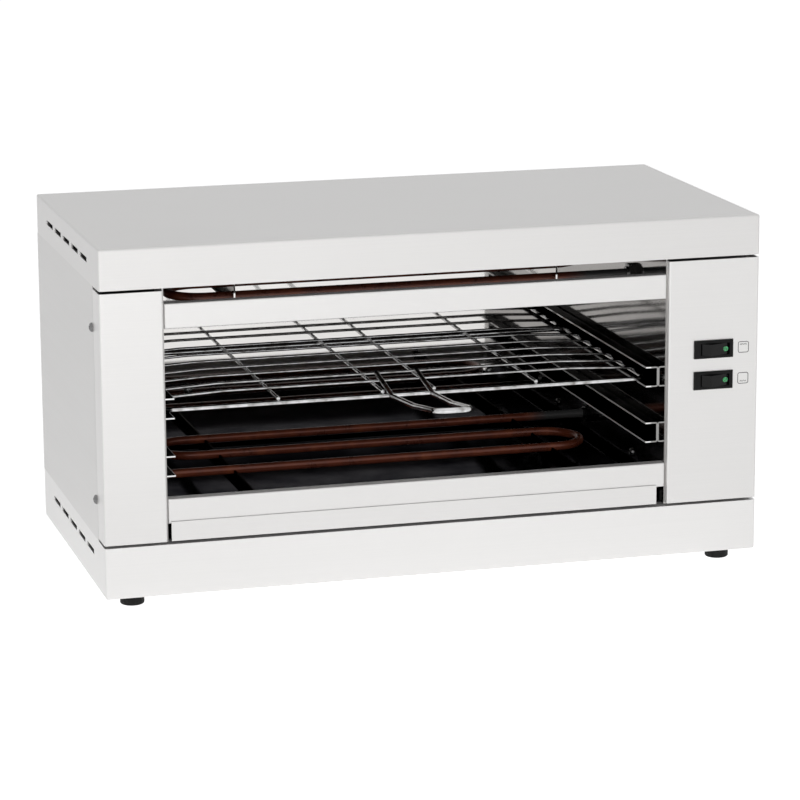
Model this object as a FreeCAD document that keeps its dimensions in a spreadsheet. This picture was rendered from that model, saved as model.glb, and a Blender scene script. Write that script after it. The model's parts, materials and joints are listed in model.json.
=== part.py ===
import FreeCAD, Part
import math
import os
import re
import Sketcher

# A single-level grill toaster: a stainless cabinet with an open-fronted chamber, tubular
# heating elements above and below, a wire rack on side rails, a sliding crumb tray and two
# rocker switches. Sizes are in millimetres. Pieces are drawn with x to the right, y to the
# back and z up from the underside of the cabinet, then moved together into the part's frame.

SIZES = (
    ("body_width", 490.0),
    ("body_depth", 250.0),
    ("base_height", 37.5),
    ("middle_height", 185.0),
    ("cover_height", 29.5),
    ("sheet_thickness", 1.0),
    ("bend_radius", 1.6),
    ("flange_width", 10.0),
    ("side_return", 23.5),
    ("post_tongue", 16.0),
    ("base_lip_width", 16.0),
    ("rear_flange_width", 30.0),
    ("front_seam", 2.0),
    ("panel_seam", 0.4),
    ("pillar_width", 45.4),
    ("control_width", 69.8),
    ("rear_cavity", 20.0),
    ("wall_front_setback", 4.0),
    ("ceiling_gap", 26.0),
    ("vent_length", 26.0),
    ("vent_width", 3.6),
    ("vent_count", 5.0),
    ("vent_pitch", 34.3),
    ("cover_vent_drop", 14.5),
    ("base_vent_drop", 13.0),
    ("guard_height", 18.0),
    ("guard_depth", 8.0),
    ("guard_setback", 2.0),
    ("guard_end_gap", 0.2),
    ("upper_guard_drop", 11.6),
    ("lower_guard_rise", 14.5),
    ("rail_height", 15.2),
    ("rail_depth", 9.5),
    ("rail_setback", 18.5),
    ("rail_rear_gap", 0.4),
    ("rail_rise", 86.5),
    ("rail_level_pitch", 42.0),
    ("element_radius", 3.25),
    ("element_pitch", 50.0),
    ("element_rise", 32.5),
    ("element_drop", 25.4),
    ("lower_element_bend_gap", 35.0),
    ("element_end_gap", 22.0),
    ("element_tail", 20.0),
    ("sleeve_radius", 4.6),
    ("sleeve_flange_radius", 8.0),
    ("sleeve_flange", 1.6),
    ("sleeve_inside", 6.5),
    ("sleeve_clearance", 0.3),
    ("sleeve_nut_across", 13.0),
    ("sleeve_nut_length", 5.0),
    ("terminal_radius", 2.0),
    ("terminal_length", 14.0),
    ("support_inset", 64.4),
    ("support_thickness", 1.2),
    ("support_height", 12.0),
    ("support_hole_clearance", 0.15),
    ("tube_sides", 12.0),
    ("rod_sides", 8.0),
    ("foot_sides", 24.0),
    ("frame_rod_radius", 1.9),
    ("cross_rod_radius", 1.1),
    ("depth_rod_radius", 1.3),
    ("handle_rod_radius", 1.95),
    ("rack_rest_gap", 0.1),
    ("rack_side_play", 3.6),
    ("rack_front_inset", 35.0),
    ("rack_rear_gap", 1.1),
    ("rack_corner_radius", 9.0),
    ("rod_bend", 25.0),
    ("cross_rod_pitch", 25.6),
    ("cross_rod_slope_length", 50.0),
    ("cross_rod_overhang", 1.5),
    ("inner_depth_rod", 19.4),
    ("outer_depth_rod", 97.3),
    ("handle_half_width", 15.3),
    ("handle_tip_half_width", 13.0),
    ("handle_reach", 120.0),
    ("handle_rise", 14.5),
    ("handle_overlap", 8.0),
    ("handle_dip_reach", 10.7),
    ("handle_dip_share", 0.36),
    ("handle_rise_bend", 90.0),
    ("handle_tip_bend", 10.5),
    ("tray_left_gap", 3.0),
    ("tray_right_gap", 7.8),
    ("tray_depth", 220.0),
    ("tray_wall_height", 11.4),
    ("tray_rest_gap", 0.1),
    ("tray_lip_height", 14.1),
    ("tray_lip_overhang", 1.0),
    ("tray_lip_gap", 0.3),
    ("tray_guide_width", 12.0),
    ("tray_guide_height", 9.0),
    ("switch_rise", 116.5),
    ("switch_pitch", 23.3),
    ("bezel_length", 30.2),
    ("bezel_height", 13.6),
    ("bezel_thickness", 2.2),
    ("switch_body_length", 27.6),
    ("switch_body_height", 11.2),
    ("switch_body_depth", 22.0),
    ("switch_hole_clearance", 0.2),
    ("window_length", 22.4),
    ("window_height", 9.0),
    ("window_depth", 17.2),
    ("window_margin", 3.0),
    ("rocker_side_gap", 0.3),
    ("rocker_end_gap", 0.3),
    ("rocker_pivot_depth", 4.5),
    ("rocker_pin_radius", 1.5),
    ("rocker_pin_clearance", 0.05),
    ("rocker_pin_length", 1.0),
    ("rocker_ridge_offset", 4.2),
    ("rocker_ridge_height", 8.2),
    ("rocker_pressed_height", 3.0),
    ("rocker_raised_height", 3.9),
    ("rocker_pressed_inset", 0.4),
    ("rocker_raised_inset", 0.7),
    ("rocker_pressed_skirt", 1.0),
    ("rocker_raised_skirt", 1.5),
    ("rocker_heel_inset", 4.0),
    ("rocker_heel_rise", 3.0),
    ("rocker_edge_radius", 0.5),
    ("lens_radius", 1.9),
    ("lens_offset", 8.0),
    ("lens_sink", 1.6),
    ("lens_proud", 0.6),
    ("lens_clearance", 0.05),
    ("blade_width", 6.3),
    ("blade_thickness", 0.8),
    ("blade_length", 9.0),
    ("blade_pitch", 9.0),
    ("foot_radius", 8.75),
    ("foot_height", 9.0),
    ("foot_side_inset", 22.5),
    ("foot_front_inset", 20.0),
    ("foot_recess_radius", 4.6),
    ("foot_recess_depth", 4.0),
    ("foot_screw_radius", 2.0),
    ("foot_screw_head_radius", 3.6),
    ("foot_screw_head", 2.2),
    ("foot_screw_grip", 3.0),
    ("foot_nut_across", 7.0),
    ("foot_nut_length", 3.2),
    ("hole_clearance", 0.4),
    ("cap_screw_head_radius", 3.5),
    ("cap_screw_head", 2.2),
    ("side_screw_setback", 5.0),
    ("rear_screw_inset", 20.0),
    ("chamber_screw_rise", 58.8),
    ("wall_screw_rise", 23.7),
    ("near_wall_screw", 51.0),
    ("far_wall_screw", 82.0),
    ("side_screw_upper_drop", 30.5),
    ("side_screw_lower_rise", 29.5),
    ("gland_inset", 48.0),
    ("gland_rise", 28.5),
    ("gland_body_radius", 10.0),
    ("gland_bore_radius", 5.0),
    ("gland_nut_across", 24.0),
    ("gland_collar", 6.0),
    ("gland_dome_length", 15.0),
    ("gland_mouth_radius", 7.5),
    ("gland_tail", 9.0),
    ("gland_lock_nut", 5.0),
)

# Places that several pieces share, each worked out from the sizes above.
PLACES = {
    "half_width": "body_width / 2",
    "half_depth": "body_depth / 2",
    "cover_edge": "base_height + middle_height",
    "body_height": "base_height + middle_height + cover_height",
    "deck_top": "base_height + sheet_thickness",
    "pillar_edge": "-half_width + pillar_width",
    "control_edge": "half_width - control_width",
    "wall_left": "pillar_edge + sheet_thickness",
    "wall_right": "control_edge - sheet_thickness",
    "wall_back": "half_depth - rear_cavity",
    "wall_front": "-half_depth + wall_front_setback",
    "chamber_middle": "(wall_left + wall_right) / 2",
    "ceiling_under": "body_height - sheet_thickness - ceiling_gap",
    "upper_guard_top": "cover_edge - upper_guard_drop",
    "upper_guard_under": "upper_guard_top - guard_height",
    "lower_guard_under": "base_height + lower_guard_rise",
    "lower_guard_top": "lower_guard_under + guard_height",
    "guard_face": "-half_depth + guard_setback",
    "guard_back": "guard_face + guard_depth",
    "rail_front": "-half_depth + rail_setback",
    "rail_back": "wall_back - rail_rear_gap",
    "upper_rail_under": "base_height + rail_rise",
    "lower_rail_under": "upper_rail_under - rail_level_pitch",
    "lower_element_height": "base_height + element_rise",
    "upper_element_height": "ceiling_under - element_drop",
    "rack_height": "upper_rail_under + sheet_thickness + frame_rod_radius + rack_rest_gap",
    "rack_left": "wall_left + sheet_thickness + rack_side_play",
    "rack_right": "wall_right - sheet_thickness - rack_side_play",
    "rack_front": "-half_depth + rack_front_inset",
    "rack_back": "wall_back - rack_rear_gap - frame_rod_radius",
    "depth_rod_height": "rack_height + frame_rod_radius + depth_rod_radius",
    "cross_rod_height": "depth_rod_height + depth_rod_radius + cross_rod_radius",
    "cross_rod_end_height": "rack_height + frame_rod_radius + cross_rod_radius",
    "tray_under": "deck_top + sheet_thickness + tray_rest_gap",
    "tray_left": "wall_left + tray_left_gap",
    "tray_right": "wall_right - tray_right_gap",
    "tray_front": "guard_face - tray_lip_gap",
    "control_middle": "half_width - control_width / 2",
    "window_middle": "control_middle + (bezel_length - window_length) / 2 - window_margin",
    "pivot_y": "-half_depth - bezel_thickness + rocker_pivot_depth",
    "upper_switch_height": "base_height + switch_rise",
    "lower_switch_height": "upper_switch_height - switch_pitch",
    "rocker_reach": "window_length / 2 - rocker_end_gap",
    "gland_x": "half_width - gland_inset",
    "gland_height": "base_height + gland_rise",
    "chamber_screw_height": "base_height + chamber_screw_rise",
    "wall_screw_height": "base_height + wall_screw_rise",
    "left_support": "wall_left + support_inset",
    "right_support": "wall_right - support_inset",
    "handle_tip_y": "rack_front - handle_reach - handle_rod_radius",
    "gland_end_y": "half_depth + gland_collar + gland_dome_length",
    "frame_shift": "-(handle_tip_y + gland_end_y) / 2",
}

NAMES = dict(SIZES)
doc = FreeCAD.newDocument("toaster")
sheet = doc.addObject("Spreadsheet::Sheet", "Sizes")
for row, (alias, number) in enumerate(SIZES, 1):
    sheet.set("A%d" % row, alias)
    sheet.set("B%d" % row, str(number))
    sheet.setAlias("B%d" % row, alias)
doc.recompute()

sub_parts = []


def bound(rule):
    """Write a rule that uses plain size and place names as one that reads the sheet."""
    def swap(match):
        word = match.group()
        if word in PLACES:
            return "(" + bound(PLACES[word]) + ")"
        return "Sizes." + word if word in NAMES else word
    return re.sub(r"[a-z_][a-z0-9_]*", swap, str(rule))


def value(rule):
    """The number that a rule gives now."""
    answer = sheet.evalExpression(bound(rule))
    return float(getattr(answer, "Value", answer))


def values(*rules):
    return [value(rule) for rule in rules]


def keep(part, label):
    """Name a finished sub-part and move it with the others into the part's frame."""
    part.Label = label
    part.setExpression("Placement.Base.y", bound("frame_shift"))
    part.setExpression("Placement.Base.z", bound("foot_height"))
    sub_parts.append(part)
    return part


def new_body(label):
    body = doc.addObject("PartDesign::Body", label)
    return keep(body, label)


def own_plane(body, role):
    return [item for item in body.Origin.OriginFeatures if item.Role == role][0]


def new_sketch(body, role, lift):
    sketch = body.newObject("Sketcher::SketchObject", "sketch")
    sketch.AttachmentSupport = [(own_plane(body, role), "")]
    sketch.MapMode = "FlatFace"
    sketch.setExpression("AttachmentOffset.Base.z", bound(lift))
    return sketch


def pin_down(sketch, line, end, across, up):
    """Fix one end of a line at two rules measured from the sketch's origin."""
    for kind, rule in (("DistanceX", across), ("DistanceY", up)):
        number = value(rule)
        index = sketch.addConstraint(Sketcher.Constraint(kind, -1, 1, line, end, number))
        sketch.setExpression("Constraints[%d]" % index, bound(rule))


def outline(body, role, lift, corners):
    """A closed sketch through corners, on a plane of the body's own lifted by a rule."""
    sketch = new_sketch(body, role, lift)
    spots = [FreeCAD.Vector(value(across), value(up), 0) for across, up in corners]
    count = len(spots)
    for index in range(count):
        sketch.addGeometry(Part.LineSegment(spots[index], spots[(index + 1) % count]), False)
    for index in range(count):
        sketch.addConstraint(Sketcher.Constraint("Coincident", index, 2, (index + 1) % count, 1))
    for index, (across, up) in enumerate(corners):
        pin_down(sketch, index, 1, across, up)
    return sketch


def rectangle(body, role, lift, low_x, low_y, high_x, high_y):
    corners = ((low_x, low_y), (high_x, low_y), (high_x, high_y), (low_x, high_y))
    return outline(body, role, lift, corners)


def circles(body, role, lift, centres, radius):
    sketch = new_sketch(body, role, lift)
    normal = FreeCAD.Vector(0, 0, 1)
    for index, (across, up) in enumerate(centres):
        centre = FreeCAD.Vector(value(across), value(up), 0)
        sketch.addGeometry(Part.Circle(centre, normal, value(radius)), False)
        pin_down(sketch, index, 3, across, up)
        rule = sketch.addConstraint(Sketcher.Constraint("Radius", index, value(radius)))
        sketch.setExpression("Constraints[%d]" % rule, bound(radius))
    return sketch


def pad(body, sketch, length, backwards=False):
    feature = body.newObject("PartDesign::Pad", "pad")
    feature.Profile = sketch
    feature.setExpression("Length", bound(length))
    feature.Reversed = backwards
    doc.recompute()
    return feature


def pocket(body, sketch, length, backwards=False):
    """Cut a sketch into the body, and make sure that it took something away."""
    before = body.Tip.Shape.Volume
    feature = body.newObject("PartDesign::Pocket", "pocket")
    feature.Profile = sketch
    feature.setExpression("Length", bound(length))
    feature.Reversed = backwards
    doc.recompute()
    if feature.Shape.isNull() or feature.Shape.Volume >= before - 1e-6:
        raise RuntimeError("a cut in %s removes nothing" % body.Label)
    return feature


def round_edges(body, radius, wanted):
    """Fillet the edges that wanted picks by their middle point and their direction."""
    tip = body.Tip
    names = []
    for index, edge in enumerate(tip.Shape.Edges, 1):
        if len(edge.Vertexes) != 2:
            continue
        first, last = edge.Vertexes[0].Point, edge.Vertexes[1].Point
        if wanted((first + last) * 0.5, (last - first).normalize()):
            names.append("Edge%d" % index)
    if not names:
        raise RuntimeError("no edge to round in %s" % body.Label)
    feature = body.newObject("PartDesign::Fillet", "fillet")
    feature.Base = (tip, names)
    feature.setExpression("Radius", bound(radius))
    doc.recompute()
    return feature


def near(a, b):
    return abs(a - b) < 0.01


def row_of(body, feature, count, spacing, axis):
    """Repeat a feature along one of the body's own axes."""
    pattern = body.newObject("PartDesign::LinearPattern", "pattern")
    pattern.Originals = [feature]
    pattern.Direction = (own_plane(body, axis), [""])
    pattern.Mode = "Spacing"
    pattern.setExpression("Offset", bound(spacing))
    pattern.Occurrences = int(value(count))
    body.Tip = pattern
    doc.recompute()
    return pattern


def folded_strip(label, role, start, length, box, walls):
    """A sheet profile: the box's listed walls, one sheet thick, drawn out along the plane's normal.

    box is low x, low y, high x, high y in the sketch, and walls names those that stay.
    """
    low_x, low_y, high_x, high_y = box
    body = new_body(label)
    back = role == "XZ_Plane"
    lift = "-(%s)" % start if back else start
    pad(body, rectangle(body, role, lift, low_x, low_y, high_x, high_y), length, back)
    inner = (
        "%s %s" % (low_x, "+ sheet_thickness" if "low x" in walls else "- sheet_thickness"),
        "%s %s" % (low_y, "+ sheet_thickness" if "low y" in walls else "- sheet_thickness"),
        "%s %s" % (high_x, "- sheet_thickness" if "high x" in walls else "+ sheet_thickness"),
        "%s %s" % (high_y, "- sheet_thickness" if "high y" in walls else "+ sheet_thickness"),
    )
    pocket(body, rectangle(body, role, lift, *inner), length, not back)
    return body


def shaped(label, shape):
    part = doc.addObject("Part::Feature", label)
    part.Shape = shape
    return keep(part, label)


def ring_of_flats(radius, sides):
    """A closed wire across x with that many flats, each one at the radius."""
    corner = radius / math.cos(math.pi / sides)
    rim = []
    for index in range(sides + 1):
        angle = 2 * math.pi * (index + 0.5) / sides
        rim.append(FreeCAD.Vector(0, corner * math.sin(angle), corner * math.cos(angle)))
    return Part.makePolygon(rim)


def rod(points, radius, bends, sides):
    """A rod of flats along straight runs joined by arcs of the given radii."""
    spots = [FreeCAD.Vector(*point) for point in points]
    section = Part.Face(ring_of_flats(radius, sides))
    turn = FreeCAD.Rotation(FreeCAD.Vector(1, 0, 0), spots[1] - spots[0])
    section.Placement = FreeCAD.Placement(spots[0], turn)
    pieces = []
    place = spots[0]
    for index in range(1, len(spots) - 1):
        before = (spots[index] - spots[index - 1]).normalize()
        after = (spots[index + 1] - spots[index]).normalize()
        angle = before.getAngle(after)
        reach = bends[index - 1] * math.tan(angle / 2)
        start = spots[index] - before * reach
        if (start - place).Length > 1e-6:
            pieces.append(section.extrude(start - place))
        section.translate(start - place)
        centre = start + (after - before * math.cos(angle)).normalize() * bends[index - 1]
        axis = before.cross(after)
        pieces.append(section.revolve(centre, axis, math.degrees(angle)))
        section.rotate(centre, axis, math.degrees(angle))
        place = spots[index] + after * reach
    pieces.append(section.extrude(spots[-1] - place))
    return pieces[0].fuse(pieces[1:]) if len(pieces) > 1 else pieces[0]


def hexagon(across, height, base, direction):
    """A hexagonal prism from a base point along a direction."""
    corner = across / math.sqrt(3)
    spots = []
    for index in range(7):
        angle = math.radians(60 * index + 30)
        spots.append(FreeCAD.Vector(corner * math.cos(angle), corner * math.sin(angle), 0))
    prism = Part.Face(Part.makePolygon(spots)).extrude(FreeCAD.Vector(0, 0, height))
    turn = FreeCAD.Rotation(FreeCAD.Vector(0, 0, 1), FreeCAD.Vector(*direction))
    prism.Placement = FreeCAD.Placement(FreeCAD.Vector(*base), turn)
    return prism


def round_bar(radius, height, base, direction):
    """A short bar with the elements' number of flats, each one at the radius."""
    spots = [FreeCAD.Vector(*base), FreeCAD.Vector(*base) + FreeCAD.Vector(*direction) * height]
    return rod(spots, radius, [], int(value("tube_sides")))


# Cover and base

def cabinet_box(label, low, height, open_top):
    """A rounded tray of sheet that forms the top or the bottom of the cabinet."""
    body = new_body(label)
    box = ("-half_width", "-half_depth", "half_width", "half_depth")
    pad(body, rectangle(body, "XY_Plane", low, *box), height)
    round_edges(body, "bend_radius", lambda middle, run: near(abs(run.z), 1))
    closed = value(low) if open_top else value(low) + value(height)
    round_edges(body, "bend_radius", lambda middle, run: near(middle.z, closed))
    inner = (
        "-half_width + sheet_thickness", "-half_depth + sheet_thickness",
        "half_width - sheet_thickness", "half_depth - sheet_thickness",
    )
    if open_top:
        under_lip = "%s + %s - sheet_thickness" % (low, height)
        hollow = rectangle(body, "XY_Plane", under_lip, *inner)
        pocket(body, hollow, "%s - 2 * sheet_thickness" % height)
        mouth = (
            "-half_width + base_lip_width", "-half_depth + base_lip_width",
            "half_width - base_lip_width", "half_depth - base_lip_width",
        )
        pocket(body, rectangle(body, "XY_Plane", "%s + %s" % (low, height), *mouth), "sheet_thickness")
    else:
        pocket(body, rectangle(body, "XY_Plane", low, *inner), "%s - sheet_thickness" % height, True)
    return body


def vent_row(body, height):
    """Slots through both side walls, spread about the middle of the depth."""
    first = "-(vent_count - 1) * vent_pitch / 2 - vent_length / 2"
    slot = rectangle(
        body, "YZ_Plane", "-half_width - sheet_thickness",
        first, "%s - vent_width / 2" % height, "%s + vent_length" % first, "%s + vent_width / 2" % height,
    )
    cut = pocket(body, slot, "body_width + 2 * sheet_thickness", True)
    row_of(body, cut, "vent_count", "vent_pitch", "Y_Axis")


cover = cabinet_box("top_cover", "cover_edge", "cover_height", False)
vent_row(cover, "body_height - cover_vent_drop")
base = cabinet_box("base_tray", "0", "base_height", True)
vent_row(base, "base_height - base_vent_drop")

foot_spots = [
    ("%s * (half_width - foot_side_inset)" % side, "%s * (half_depth - foot_front_inset)" % end)
    for side in ("-1", "1") for end in ("-1", "1")
]
foot_holes = circles(base, "XY_Plane", "sheet_thickness", foot_spots, "foot_screw_radius + hole_clearance")
pocket(base, foot_holes, "2 * sheet_thickness")

# Side and rear panels

panel_front = "-half_depth + side_return + panel_seam"
panel_length = "body_depth - side_return - panel_seam - sheet_thickness"
left_panel = folded_strip(
    "left_side_panel", "XZ_Plane", panel_front, panel_length,
    ("-half_width", "base_height", "-half_width + flange_width", "cover_edge"),
    ("low x", "low y", "high y"),
)
right_panel = folded_strip(
    "right_side_panel", "XZ_Plane", panel_front, panel_length,
    ("half_width - flange_width", "base_height", "half_width", "cover_edge"),
    ("high x", "low y", "high y"),
)
for body, low_x, high_x in (
    (left_panel, "-half_width", "-half_width + rear_flange_width"),
    (right_panel, "half_width - rear_flange_width", "half_width"),
):
    flange = rectangle(
        body, "XY_Plane", "base_height", low_x, "half_depth - 2 * sheet_thickness",
        high_x, "half_depth - sheet_thickness",
    )
    pad(body, flange, "middle_height")
rear_panel = new_body("rear_panel")
rear_plate = rectangle(
    rear_panel, "XZ_Plane", "-half_depth", "-half_width", "base_height + panel_seam",
    "half_width", "cover_edge - panel_seam",
)
pad(rear_panel, rear_plate, "sheet_thickness")
side_screw_y = "-half_depth + side_return + side_screw_setback"
side_screw_heights = ("cover_edge - side_screw_upper_drop", "base_height + side_screw_lower_rise")
side_screw_spots = [(side_screw_y, height) for height in side_screw_heights]
gland_hole = circles(
    rear_panel, "XZ_Plane", "-half_depth - sheet_thickness",
    [("gland_x", "gland_height")], "gland_body_radius + hole_clearance",
)
pocket(rear_panel, gland_hole, "3 * sheet_thickness", True)
rear_screw_spots = [
    ("%s * (half_width - rear_screw_inset)" % side, height)
    for side in ("-1", "1") for height in side_screw_heights
]

# Front pillar and control panel

front_low = "base_height + front_seam"
front_length = "middle_height - 2 * front_seam"


def front_post(label, low_x, high_x, tongue_x):
    """A folded front piece with a tongue that passes behind the side panel's front edge."""
    body = folded_strip(
        label, "XY_Plane", front_low, front_length,
        (low_x, "-half_depth", high_x, "-half_depth + side_return"),
        ("low x", "low y", "high x"),
    )
    face = value("-half_depth")
    round_edges(body, "bend_radius", lambda middle, run: near(abs(run.z), 1) and near(middle.y, face))
    tongue = rectangle(
        body, "XY_Plane", front_low, tongue_x, "-half_depth + side_return - 3 * sheet_thickness",
        tongue_x + " + sheet_thickness", "-half_depth + side_return + post_tongue",
    )
    pad(body, tongue, front_length)
    return body


front_post("left_front_pillar", "-half_width", "pillar_edge", "-half_width + sheet_thickness")
control = front_post("control_panel", "control_edge", "half_width", "half_width - 2 * sheet_thickness")
for rise in ("upper_switch_height", "lower_switch_height"):
    opening = rectangle(
        control, "XZ_Plane", "half_depth + sheet_thickness",
        "control_middle - switch_body_length / 2 - switch_hole_clearance",
        "%s - switch_body_height / 2 - switch_hole_clearance" % rise,
        "control_middle + switch_body_length / 2 + switch_hole_clearance",
        "%s + switch_body_height / 2 + switch_hole_clearance" % rise,
    )
    pocket(control, opening, "3 * sheet_thickness")

# Deck, chamber walls and ceiling

deck = new_body("deck_plate")
deck_box = (
    "-half_width + flange_width + panel_seam", "wall_front + flange_width",
    "half_width - flange_width - panel_seam", "half_depth - flange_width - sheet_thickness",
)
pad(deck, rectangle(deck, "XY_Plane", "base_height", *deck_box), "sheet_thickness")

wall_length = "wall_back - wall_front"
left_wall = folded_strip(
    "chamber_left_wall", "XZ_Plane", "wall_front", wall_length,
    ("wall_left - flange_width", "deck_top", "wall_left", "ceiling_under"),
    ("high x", "low y", "high y"),
)
right_wall = folded_strip(
    "chamber_right_wall", "XZ_Plane", "wall_front", wall_length,
    ("wall_right", "deck_top", "wall_right + flange_width", "ceiling_under"),
    ("low x", "low y", "high y"),
)
folded_strip(
    "chamber_back_wall", "YZ_Plane", "wall_left - sheet_thickness",
    "wall_right - wall_left + 2 * sheet_thickness",
    ("wall_back", "deck_top", "wall_back + flange_width", "ceiling_under"),
    ("low x", "low y", "high y"),
)
folded_strip(
    "chamber_ceiling", "YZ_Plane", "wall_left - flange_width",
    "wall_right - wall_left + 2 * flange_width",
    ("wall_front", "ceiling_under", "wall_back + flange_width", "ceiling_under + flange_width"),
    ("low x", "high x", "low y"),
)

# The elements' tails pass through the side walls: the upper one's front run on the right and
# its rear run on the left, and the lower one's the other way round.
tail_spots = {
    "left": (("-element_pitch", "lower_element_height"), ("element_pitch", "upper_element_height")),
    "right": (("element_pitch", "lower_element_height"), ("-element_pitch", "upper_element_height")),
}
tail_hole = "sleeve_radius + sleeve_clearance"
wall_screw_spots = {
    "left": (("-far_wall_screw", "wall_screw_height"), ("near_wall_screw", "wall_screw_height")),
    "right": (("-near_wall_screw", "wall_screw_height"), ("far_wall_screw", "wall_screw_height")),
}
back_screw_spots = [
    ("left_support", "chamber_screw_height"),
    ("right_support", "chamber_screw_height"),
]
for body, start, side in (
    (left_wall, "wall_left - 2 * sheet_thickness", "left"),
    (right_wall, "wall_right - sheet_thickness", "right"),
):
    pocket(body, circles(body, "YZ_Plane", start, tail_spots[side], tail_hole), "3 * sheet_thickness", True)

# Guard strips, rails and tray guides

def guard_strip(label, low_z, high_z):
    """A shallow pan of sheet, open at the back, between the chamber's walls."""
    body = new_body(label)
    left = "wall_left + guard_end_gap"
    right = "wall_right - guard_end_gap"
    pad(body, rectangle(body, "XZ_Plane", "-guard_back", left, low_z, right, high_z), "guard_depth")
    hollow = rectangle(
        body, "XZ_Plane", "-guard_back", left + " + sheet_thickness", low_z + " + sheet_thickness",
        right + " - sheet_thickness", high_z + " - sheet_thickness",
    )
    pocket(body, hollow, "guard_depth - sheet_thickness", True)
    face = value("guard_face")
    round_edges(body, "sheet_thickness", lambda middle, run: near(middle.y, face))
    return body


guard_strip("upper_guard_strip", "upper_guard_under", "upper_guard_top")
guard_strip("lower_guard_strip", "lower_guard_under", "lower_guard_top")


def rail(label, low_x, high_x, low_z, web):
    body = folded_strip(
        label, "XZ_Plane", "rail_front", "rail_back - rail_front",
        (low_x, low_z, high_x, low_z + " + rail_height"), (web, "low y", "high y"),
    )
    side = value(low_x) if web == "low x" else value(high_x)
    round_edges(body, "bend_radius", lambda middle, run: near(abs(run.y), 1) and near(middle.x, side))
    return body


for level in ("upper", "lower"):
    rise = level + "_rail_under"
    rail(level + "_left_rail", "wall_left", "wall_left + rail_depth", rise, "low x")
    rail(level + "_right_rail", "wall_right - rail_depth", "wall_right", rise, "high x")

guide_box = ("deck_top", "deck_top + tray_guide_height")
folded_strip(
    "left_tray_guide", "XZ_Plane", "guard_back", "rail_back - guard_back",
    ("wall_left", guide_box[0], "wall_left + tray_guide_width", guide_box[1]), ("low x", "low y"),
)
folded_strip(
    "right_tray_guide", "XZ_Plane", "guard_back", "rail_back - guard_back",
    ("wall_right - tray_guide_width", guide_box[0], "wall_right", guide_box[1]), ("high x", "low y"),
)

# Crumb tray: a shallow pan whose front turns up in front of the lower guard strip

tray = new_body("crumb_tray")
tray_back = "tray_front + tray_depth"
pan = rectangle(tray, "XY_Plane", "tray_under", "tray_left", "tray_front", "tray_right", tray_back)
pad(tray, pan, "tray_wall_height")
pan_hollow = rectangle(
    tray, "XY_Plane", "tray_under + tray_wall_height",
    "tray_left + sheet_thickness", "tray_front + sheet_thickness / 2",
    "tray_right - sheet_thickness", tray_back + " - sheet_thickness",
)
pocket(tray, pan_hollow, "tray_wall_height - sheet_thickness")
lip = rectangle(
    tray, "XZ_Plane", "-tray_front", "tray_left - tray_lip_overhang", "tray_under",
    "tray_right + tray_lip_overhang", "tray_under + tray_lip_height",
)
pad(tray, lip, "sheet_thickness")

# Heating elements

def element(label, height, side):
    """A tube in an S: three runs, two half-turn bends and a tail through each side wall.

    side is 1 where the rear run's tail leaves on the right, and -1 where it leaves on the left.
    """
    radius, pitch, tail = values("element_radius", "element_pitch", "element_tail")
    left, right = values("wall_left", "wall_right")
    bend_right = right - value("lower_element_bend_gap" if side > 0 else "element_end_gap")
    bend_left = left + value("element_end_gap")
    level = value(height)
    if side > 0:
        ends = (left - tail, bend_right, bend_left, right + tail)
    else:
        ends = (right + tail, bend_left, bend_right, left - tail)
    points = (
        (ends[0], -pitch, level), (ends[1], -pitch, level), (ends[1], 0, level),
        (ends[2], 0, level), (ends[2], pitch, level), (ends[3], pitch, level),
    )
    return shaped(label, rod(points, radius, [pitch / 2] * 4, int(value("tube_sides"))))


element("upper_heating_element", "upper_element_height", -1)
element("lower_heating_element", "lower_element_height", 1)


def tail_places():
    """Where each tail crosses its wall, and the way out."""
    places = []
    for side, way in (("left", -1), ("right", 1)):
        for across, up in tail_spots[side]:
            places.append((value("wall_" + side), value(across), value(up), way))
    return places


sleeves = []
sleeve_nuts = []
terminals = []
for wall, y, z, way in tail_places():
    sheet_size, inside, clearance = values("sheet_thickness", "sleeve_inside", "sleeve_clearance")
    sleeve_radius, flange, bore = values(
        "sleeve_radius", "sleeve_flange", "element_radius + support_hole_clearance"
    )
    start = (wall - way * inside, y, z)
    length = inside + sheet_size + flange
    sleeve = round_bar(sleeve_radius, length, start, (way, 0, 0))
    outer = (wall + way * sheet_size, y, z)
    sleeve = sleeve.fuse(round_bar(value("sleeve_flange_radius"), flange, outer, (way, 0, 0)))
    sleeve = sleeve.cut(round_bar(bore, length, start, (way, 0, 0))).removeSplitter()
    sleeves.append(sleeve)
    nut_length = value("sleeve_nut_length")
    nut = hexagon(value("sleeve_nut_across"), nut_length, (wall, y, z), (-way, 0, 0))
    nut = nut.cut(round_bar(sleeve_radius, nut_length, (wall, y, z), (-way, 0, 0)))
    sleeve_nuts.append(nut)
    tip = (wall + way * value("element_tail"), y, z)
    terminals.append(round_bar(value("terminal_radius"), value("terminal_length"), tip, (way, 0, 0)))
shaped("element_sleeves", Part.makeCompound(sleeves))
shaped("element_sleeve_nuts", Part.makeCompound(sleeve_nuts))
shaped("element_terminals", Part.makeCompound(terminals))


def comb(label, side, low, high, height, start, end):
    """An upright strip across the chamber with a seat for each run of an element."""
    body = new_body(label)
    lift = "%s_support - support_thickness / 2" % side
    pad(body, rectangle(body, "YZ_Plane", lift, start, low, end, high), "support_thickness")
    runs = [(place, height) for place in ("-element_pitch", "0", "element_pitch")]
    seats = circles(body, "YZ_Plane", lift, runs, "element_radius + support_hole_clearance")
    pocket(body, seats, "support_thickness", True)
    return body


for side in ("left", "right"):
    comb(
        "lower_element_comb_" + side, side, "lower_element_height - support_height", "lower_element_height",
        "lower_element_height", "guard_back", "wall_back",
    )
    comb(
        "upper_element_comb_" + side, side, "upper_element_height - support_height / 2", "ceiling_under",
        "upper_element_height", "-element_pitch - support_height", "element_pitch + support_height",
    )

# Wire rack

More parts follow.
